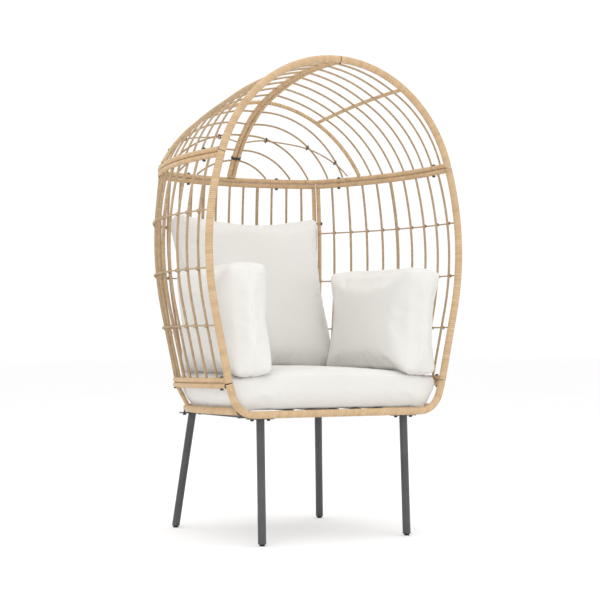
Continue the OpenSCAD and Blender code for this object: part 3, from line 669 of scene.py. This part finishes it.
# ---- Hood: two halves that meet at the ridge ----
# Each half is a quarter of the front hoop, a ridge tube, a bottom rail, a middle arch and a
# cross tube in the broad strip, with thin wound wires sprung between them.
APEX_Z = 1474.0
WIRE_D, ARCH_D, CROSS_D, STAY_D = 6.5, 13.0, 12.0, 5.0
hood_low_z = SHOULDER_Z + RAIL_D / 2 + GAP / 2
ridge_x = RAIL_D / 2 + GAP / 2
ridge_side_x = ridge_x + RAIL_D / 2 + GAP
rail_up_z = hood_low_z + RAIL_D / 2 + 1.6
hoop_turn = 90 - math.degrees(math.atan2(SHOULDER_HALF, APEX_Z - SHOULDER_Z))
hoop_chord = math.hypot(SHOULDER_HALF, APEX_Z - SHOULDER_Z)
hoop_top = bow((SHOULDER_HALF, 0, SHOULDER_Z), (0, 0, APEX_Z), np.array([1.0, 0, 1.0]),
               hoop_chord / 2 * math.tan(math.radians(hoop_turn) / 2), 60)


def two_arcs(start, end, a, b, c):
    """A [height, depth] run of two arcs that turn from heading a, through b, to c degrees."""
    rise, run = end[0] - start[0], end[1] - start[1]
    a, b, c = (math.radians(v) for v in (a, b, c))
    ca, cb = math.cos(b) - math.cos(a), math.cos(c) - math.cos(b)
    sa, sb = math.sin(a) - math.sin(b), math.sin(b) - math.sin(c)
    det = ca * sb - cb * sa
    r1, r2 = (rise * sb - cb * run) / det, (ca * run - rise * sa) / det
    w = np.linspace(a, b, 30)
    first = np.stack([start[0] + r1 * (np.cos(w) - math.cos(a)),
                      start[1] + r1 * (math.sin(a) - np.sin(w))], 1)
    w = np.linspace(b, c, 40)[1:]
    second = np.stack([first[-1, 0] + r2 * (np.cos(w) - math.cos(b)),
                       first[-1, 1] + r2 * (math.sin(b) - np.sin(w))], 1)
    return np.concatenate([first, second])


ridge_flat = two_arcs((APEX_Z - 4, behind_hoop), (hood_low_z + RAIL_D / 2 + GAP, BACK_Y - 10),
                      4, -18, -65)
ridge = np.stack([np.full(len(ridge_flat), ridge_x), ridge_flat[:, 1], ridge_flat[:, 0]], 1)


def ridge_z(y):
    return np.interp(y, ridge_flat[:, 1], ridge_flat[:, 0])


def rail_x(y):
    return np.interp(y, side_top[:, 1], side_top[:, 0])


ARCH_Y, WIRES = 476.0, 9
arch_foot = np.array([rail_x(ARCH_Y), ARCH_Y, rail_up_z])
arch_head = np.array([ridge_side_x, ARCH_Y, ridge_z(ARCH_Y)])
arch = bow(arch_foot, arch_head, np.array([1.0, 0, 1.0]),
           np.linalg.norm(arch_head - arch_foot) / 2 * math.tan(math.radians(14)), 40)
cross_start = at_share(hoop_top, 0.545) + np.array([0, behind_hoop, 0])
cross_end = at_share(arch, 0.56) - np.array([0, ARCH_D / 2 + GAP, 0])
cross_out = unit([0.55, 0, 0.84])
cross_tube = bow(cross_start, cross_end, cross_out, 12)
front_wires = []
for k in range(1, WIRES):
    y, share = ARCH_Y * k / WIRES, k / WIRES
    foot = np.array([rail_x(y), y, rail_up_z - 3])
    crossing = at_level(cross_tube, 1, y)
    top = np.array([ridge_side_x - 1, y, ridge_z(y)])
    cut = CROSS_D / 2 - 1
    front_wires.append(bow(foot, crossing - unit(crossing - foot) * cut,
                           np.array([1, 0, 0.5]), 28 - 9 * share))
    front_wires.append(bow(crossing + unit(top - crossing) * cut, top,
                           np.array([0.3, 0, 1]), 14 - 6 * share))


def corner_back(x):
    return np.array([x, arc_back(back_r, BACK_Y, x), rail_up_z])


# The rear wires rise from the side rail and the back rail to the ridge, and arch upwards.
SIDE_FEET_Y, BACK_FEET_X = (545, 604), (277, 218, 134)
REAR_TOPS, REAR_RISES = (527, 582, 621, 663, 687), (0.15, 0.16, 0.13, 0.12, 0.08)
rear_feet = [np.array([rail_x(y), y, rail_up_z]) for y in SIDE_FEET_Y]
rear_feet += [corner_back(x) for x in BACK_FEET_X]
rear_tops = [np.array([ridge_side_x + 0.3, y, ridge_z(y)]) for y in REAR_TOPS]
rear_wires = [bow(foot, top, UP, rise * np.linalg.norm(top - foot))
              for foot, top, rise in zip(rear_feet, rear_tops, REAR_RISES)]


def on_rear(i, share, inset):
    """A point inset under rear wire i, a share of the way up it."""
    foot, top = rear_feet[i], rear_tops[i]
    ahead = unit(top - foot)
    out = unit(UP - ahead[2] * ahead)
    swell = REAR_RISES[i] * np.linalg.norm(top - foot) * 4 * share * (1 - share)
    return foot + (top - foot) * share + out * (swell - inset)


STAY_HEAD_Y, STAY_FOOT_Y = 640, 521
stay_in = WIRE_D / 2 + STAY_D / 2 + GAP
stay_foot_z = hood_low_z + RAIL_D / 2 + STAY_D / 2 + 1
stay_knots = [np.array([ridge_side_x + STAY_D / 2, STAY_HEAD_Y, ridge_z(STAY_HEAD_Y) - 2]),
              on_rear(2, 0.76, stay_in), on_rear(1, 0.36, stay_in), on_rear(0, 0.14, stay_in),
              np.array([rail_x(STAY_FOOT_Y) - 4, STAY_FOOT_Y, stay_foot_z])]


def smooth_run(knots, steps=8):
    """A smooth run through all the knots."""
    run = []
    last = len(knots) - 1
    for i in range(last):
        a, b, c, d = knots[max(i - 1, 0)], knots[i], knots[i + 1], knots[min(i + 2, last)]
        for t in np.linspace(0, 1, steps, endpoint=i == last - 1):
            run.append((2 * b + (c - a) * t + (2 * a - 5 * b + 4 * c - d) * t ** 2
                        + (3 * b - a - 3 * c + d) * t ** 3) / 2)
    return np.array(run)


stay = smooth_run(stay_knots)
rail_corner = cut_ends(side_top, behind_hoop - 2, 0)
back_turn = np.linspace(math.asin(CORNER_HALF / back_r), 0, 40)[1:]
rail_back = np.stack([back_r * np.sin(back_turn) + GAP / 2 * (back_turn == 0),
                      BACK_Y - back_r + back_r * np.cos(back_turn), 0 * back_turn], 1)
hood_rail = np.concatenate([rail_corner, rail_back]) + UP * hood_low_z
for name, flip in (("right", False), ("left", True)):
    turned = left if flip else np.copy
    wound("hood_hoop_" + name, [(turned(cut_ends(hoop_top, 1, 1)), HOOP_D)])
    wound("hood_ridge_" + name, [(turned(ridge), RAIL_D)])
    wound("hood_rail_" + name, [(turned(hood_rail), RAIL_D)])
    wound("hood_arch_" + name, [(turned(arch), ARCH_D)])
    wound("hood_cross_tube_" + name, [(turned(cross_tube), CROSS_D)])
    wound("hood_front_wires_" + name, [(turned(p), WIRE_D) for p in front_wires], **THIN)
    wound("hood_rear_wires_" + name, [(turned(p), WIRE_D) for p in rear_wires], **THIN)
    wound("hood_stay_" + name, [(turned(stay), STAY_D)], **THIN)

# ---- Cushions: seat, back and two sides ----
# Polyester-filled cases in off-white outdoor cloth, a plain weave with sewn edge seams. They
# lie loose in the frame. Each starts smaller than its space and is filled by pressure.
cloth_white, shader, place = new_finish("cushion_cloth", Sheen_Weight=0.18,
                                        Sheen_Roughness=0.5, Specular_IOR_Level=0.2)
soft = grain(place, 5.0)
threads = place.node("SeparateXYZ", {}, {"Vector": place})
THREADS = 2 * math.pi / 0.0011
weave = threads.maths("SINE", threads * THREADS)
for axis in ("Y", "Z"):
    along = Socket(threads.socket.node.outputs[axis])
    weave = weave + along.maths("SINE", along * THREADS)
weave = weave * 0.17 + 0.5
slub = grain(place, 420.0, 4.0, 0.7)
tint = soft * 0.6 + slub * 0.4
tint.node("ValToRGB", {"stops": [(0.3, (0.66, 0.648, 0.62, 1)), (0.7, (0.72, 0.71, 0.68, 1))]},
          {"Fac": tint}).feed(shader, "Base Color")
(0.82 + slub * 0.14).feed(shader, "Roughness")
height = weave * 0.6 + slub * 0.4
height.node("Bump", {}, {"Strength": 0.3, "Distance": 0.0005, "Height": height}).feed(
    shader, "Normal")


def read_points(mesh):
    flat = np.zeros(len(mesh.vertices) * 3, np.float32)
    mesh.vertices.foreach_get("co", flat)
    return flat.reshape(-1, 3).astype(float)


def write_points(mesh, points):
    mesh.vertices.foreach_set("co", points.astype(np.float32).ravel())
    mesh.update()


def box_case(size, shape):
    """A cut-and-sewn case: a finely divided box whose points are then set by shape."""
    bm = bmesh.new()
    bmesh.ops.create_cube(bm, size=2)
    bmesh.ops.subdivide_edges(bm, edges=bm.edges, cuts=23, use_grid_fill=True)
    mesh = bpy.data.meshes.new("case")
    bm.to_mesh(mesh)
    bm.free()
    share = read_points(mesh)
    write_points(mesh, shape(share, np.array(size) / 2))
    return mesh


def pillow_shape(round_edge, pull):
    """Sets a box's points to a box with round edges whose sides pull in between corners."""
    def shape(share, half):
        inner = half - round_edge
        box = share * half
        core = np.clip(box, -inner, inner)
        off = box - core
        length = np.linalg.norm(off, axis=1)
        reach = np.maximum(length, 1e-9)
        points = core + off / reach[:, None] * np.minimum(length, round_edge)[:, None]
        u, v, t = share.T
        points[:, 0] *= 1 - pull * 0.8 * (1 - v ** 2)
        points[:, 1] *= 1 - pull * np.where(v > 0, 1, 0.3) * (1 - u ** 2)
        return points
    return shape


VOXEL, FILL_FRAMES = 0.006, 20


def filled(mesh, name, swell, pressure, bending):
    """Remeshes a case evenly, fills it by pressure, and returns the filled mesh.

    No point moves further than swell, in metres.
    """
    case = bpy.data.objects.new(name, mesh)
    bpy.context.scene.collection.objects.link(case)
    even = case.modifiers.new("even", "REMESH")
    even.mode = "VOXEL"
    even.voxel_size = VOXEL
    scene = bpy.context.scene
    graph = bpy.context.evaluated_depsgraph_get()
    cloth_mesh = bpy.data.meshes.new_from_object(case.evaluated_get(graph))
    case.modifiers.clear()
    case.data = cloth_mesh
    start = read_points(cloth_mesh)
    cloth = case.modifiers.new("filling", "CLOTH")
    cloth.settings.quality = 4
    cloth.settings.mass = 0.35
    cloth.settings.tension_stiffness = 18
    cloth.settings.compression_stiffness = 18
    cloth.settings.bending_stiffness = bending
    cloth.settings.use_pressure = True
    cloth.settings.uniform_pressure_force = pressure
    cloth.settings.effector_weights.gravity = 0
    cloth.point_cache.frame_start = 1
    cloth.point_cache.frame_end = FILL_FRAMES
    for step in range(1, FILL_FRAMES + 1):
        scene.frame_set(step)
    graph = bpy.context.evaluated_depsgraph_get()
    swollen = bpy.data.meshes.new_from_object(case.evaluated_get(graph))
    move = read_points(swollen) - start
    far = np.linalg.norm(move, axis=1)
    limit = swell * np.tanh(far / swell)
    write_points(cloth_mesh, start + move / np.maximum(far, 1e-9)[:, None] * limit[:, None])
    case.modifiers.clear()
    bpy.data.meshes.remove(swollen)
    scene.frame_set(1)
    finer = case.modifiers.new("finer", "SUBSURF")
    finer.levels = finer.render_levels = 1
    graph = bpy.context.evaluated_depsgraph_get()
    done = bpy.data.meshes.new_from_object(case.evaluated_get(graph))
    bpy.data.objects.remove(case)
    return done


def hand_creases(points, normals, depth, seed):
    """Soft dents and creases of a stuffed case, as an offset along its normals."""
    shift = Vector((seed * 7.3, seed * 3.1, seed * 5.7))
    wave = [noise.noise(Vector(p) * 6 + shift) * 0.7 + noise.noise(Vector(p) * 17 + shift) * 0.3
            for p in points]
    return points + normals * (np.array(wave) * depth)[:, None]


def seam(points, normals, distance, width=0.0035, depth=0.0022):
    """A sewn seam: the cloth dips where its distance from the seam line is near nought."""
    return points - normals * (depth * np.exp(-(distance / width) ** 2))[:, None]


def normals_of(mesh):
    flat = np.zeros(len(mesh.vertices) * 3, np.float32)
    mesh.vertex_normals.foreach_get("vector", flat)
    return flat.reshape(-1, 3).astype(float)


def cushion(name, node, mesh, matrix):
    """Puts a finished case in its place in the chair as a padded piece."""
    mesh.transform(matrix)
    mesh.shade_smooth()
    mesh.materials.clear()
    mesh.materials.append(cloth_white)
    piece = bpy.data.objects.new(name, mesh)
    bpy.context.scene.collection.objects.link(piece)
    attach(piece, "root")
    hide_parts(node)
    return piece


def row_place(x, y, z):
    """A move to a place in mm, with y from the plane of the front hoop."""
    return Matrix.Translation((x / 1000, FRONT_Y + y / 1000, z / 1000))


# The seat cushion follows the frame's outline: narrow on the slats, wider at its top. The room
# between it and the frame is in mm, and what is set after it is filled is in metres.
SEAT_BASE_Z, SEAT_THICK, SEAT_SWELL = 0.4028, 0.098, 0.007
FRONT_ROOM, FRONT_TUCK, FLARE = 13.0, 8, 1.35
LOW_REAR_HALF, LOW_REAR_ROOM, LOW_SIDE_ROOM = 205, 25, 9
TOP_REAR_HALF, TOP_REAR_ROOM, TOP_SIDE_ROOM = 230, 27, 12


def seat_shape(share, half):
    """Sets a box's points to the space in the seat frame, so its half sizes aren't used."""
    u, v, t = share.T
    level = (t + 1) / 2
    z = SEAT_BASE_Z + SEAT_SWELL * 0.4 + level * (SEAT_THICK - SEAT_SWELL * 0.8)
    back_low = seat_back_y - SEAT_BACK_R + np.sqrt(
        SEAT_BACK_R ** 2 - (u * LOW_REAR_HALF) ** 2) - LOW_REAR_ROOM
    back_high = low_back_y - LOW_BACK_R + np.sqrt(
        LOW_BACK_R ** 2 - (u * TOP_REAR_HALF) ** 2) - TOP_REAR_ROOM
    wide = np.clip(level * FLARE, 0, 1)
    back = back_low + (back_high - back_low) * wide
    front = FRONT_ROOM + FRONT_TUCK * np.clip(0.5 - level, 0, 1)
    y = front + (v + 1) / 2 * (back - front)
    low_half = np.interp(y, seat_side[:, 1], seat_side[:, 0]) - LOW_SIDE_ROOM
    top_half = np.interp(y, side_low[:, 1], side_low[:, 0]) - TOP_SIDE_ROOM
    half_x = low_half + (top_half - low_half) * wide
    edge = np.abs(2 * level - 1) ** 6
    x = u * half_x * (1 - 0.008 * edge)
    y_mid = (front + back) / 2
    y = y_mid + (y - y_mid) * (1 - 0.012 * edge)
    return np.stack([x / 1000, y / 1000 + FRONT_Y, z], 1)


CROWN_HALF_X, CROWN_HALF_Y, CROWN_RISE = 0.33, 0.31, 0.027
SEAM_UP, DROOP, DROOP_Y, DROOP_HEIGHT = 0.012, 0.006, 0.036, 0.05
seat_mesh = filled(box_case((1, 1, 1), seat_shape), "seat_case", SEAT_SWELL, 4.0, 3.0)
points, normals = read_points(seat_mesh), normals_of(seat_mesh)
across = points[:, 0] / CROWN_HALF_X
along = (points[:, 1] - FRONT_Y - CROWN_HALF_Y) / CROWN_HALF_Y
crown = np.clip(1 - across ** 2, 0, 1) * np.clip(1 - 0.45 * along ** 2, 0, 1)
top = np.clip((points[:, 2] - SEAT_BASE_Z) / SEAT_THICK, 0, 1)
points[:, 2] += CROWN_RISE * crown ** 0.8 * top
points = hand_creases(points, normals, 0.0016, 1)
side_face = np.clip(1 - np.abs(normals[:, 2]) * 1.6, 0, 1)
from_seam = np.abs(points[:, 2] - SEAT_BASE_Z - SEAM_UP)
points = seam(points, normals, from_seam + (1 - side_face) * 0.02)
points[:, 2] = np.maximum(points[:, 2], SEAT_BASE_Z)
at_front = np.clip((FRONT_Y + DROOP_Y - points[:, 1]) / 0.02, 0, 1)
at_foot = np.clip(1 - (points[:, 2] - SEAT_BASE_Z) / DROOP_HEIGHT, 0, 1)
points[:, 2] -= DROOP * at_front * at_foot
write_points(seat_mesh, points)
cushion("seat_cushion_case", "seat_cushion", seat_mesh, Matrix.Identity(4))

# The back cushion leans on the back rods; the side cushions stand on the seat cushion.
seat_top = (SEAT_BASE_Z + SEAT_THICK) * 1000
back_place = row_place(0, 550, seat_top + 267) @ Matrix.Rotation(math.radians(-16.6), 4, "X")
stand_up = Matrix.Rotation(math.radians(90), 4, "X")
back_mesh = filled(box_case((0.562, 0.556, 0.100), pillow_shape(0.024, 0.075)), "back_case",
                   0.024, 4.0, 1.5)
points, normals = read_points(back_mesh), normals_of(back_mesh)
points = hand_creases(points, normals, 0.003, 2)
points = seam(points, normals, np.abs(points[:, 2]))
write_points(back_mesh, points)
cushion("back_cushion_case", "back_cushion", back_mesh, back_place @ stand_up)

for name, sign in (("right", 1), ("left", -1)):
    mesh = filled(box_case((0.450, 0.336, 0.132), pillow_shape(0.022, 0.045)), "side_case",
                  0.018, 3.5, 3.0)
    points, normals = read_points(mesh), normals_of(mesh)
    points = hand_creases(points, normals, 0.002, 3 + sign)
    points = seam(points, normals, np.abs(points[:, 2]))
    write_points(mesh, points)
    face_in = Matrix.Rotation(math.radians(90), 4, "Z")
    lean = (Matrix.Rotation(math.radians(5 * sign), 4, "Z")
            @ Matrix.Rotation(math.radians(4 * sign), 4, "Y"))
    place = row_place(292 * sign, 214, seat_top + 172) @ lean @ face_in @ stand_up
    cushion("side_cushion_case_" + name, "side_cushion_" + name, mesh, place)

# ---- Studio: a pale floor under soft light from all round ----
# The floor runs on far enough that it meets the pale sky without a hard line.
bm = bmesh.new()
bmesh.ops.create_grid(bm, x_segments=1, y_segments=1, size=60)
mesh = bpy.data.meshes.new("floor")
bm.to_mesh(mesh)
bm.free()
floor = bpy.data.objects.new("floor", mesh)
bpy.context.scene.collection.objects.link(floor)
floor_paint, shader, place = new_finish("floor_paint", Specular_IOR_Level=0.1, Roughness=0.9)
sweep = grain(place, 0.6)
sweep.node("ValToRGB", {"stops": [(0.0, (0.93, 0.93, 0.93, 1)), (1.0, (0.96, 0.96, 0.96, 1))]},
           {"Fac": sweep}).feed(shader, "Base Color")
mesh.materials.append(floor_paint)


def panel_light(name, place, aim, size, power):
    light = bpy.data.lights.new(name, "AREA")
    light.shape = "RECTANGLE"
    light.size, light.size_y = size
    light.energy = power
    lamp = bpy.data.objects.new(name, light)
    bpy.context.scene.collection.objects.link(lamp)
    lamp.location = place
    lamp.rotation_euler = (Vector(aim) - Vector(place)).to_track_quat("-Z", "Y").to_euler()


panel_light("key", (-3.2, -4.0, 4.0), (0, 0, 0.8), (3.0, 3.0), 66)
panel_light("fill", (4.0, -3.0, 2.2), (0, 0, 0.7), (3.0, 3.0), 22)
panel_light("top", (0.0, 0.2, 5.0), (0, 0, 0.8), (4.0, 4.0), 66)
world = bpy.data.worlds.new("studio")
world.use_nodes = True
world.node_tree.nodes["Background"].inputs["Color"].default_value = (1.0, 1.0, 1.0, 1)
world.node_tree.nodes["Background"].inputs["Strength"].default_value = 1.04
bpy.context.scene.world = world
bpy.context.scene.view_settings.view_transform = "Standard"
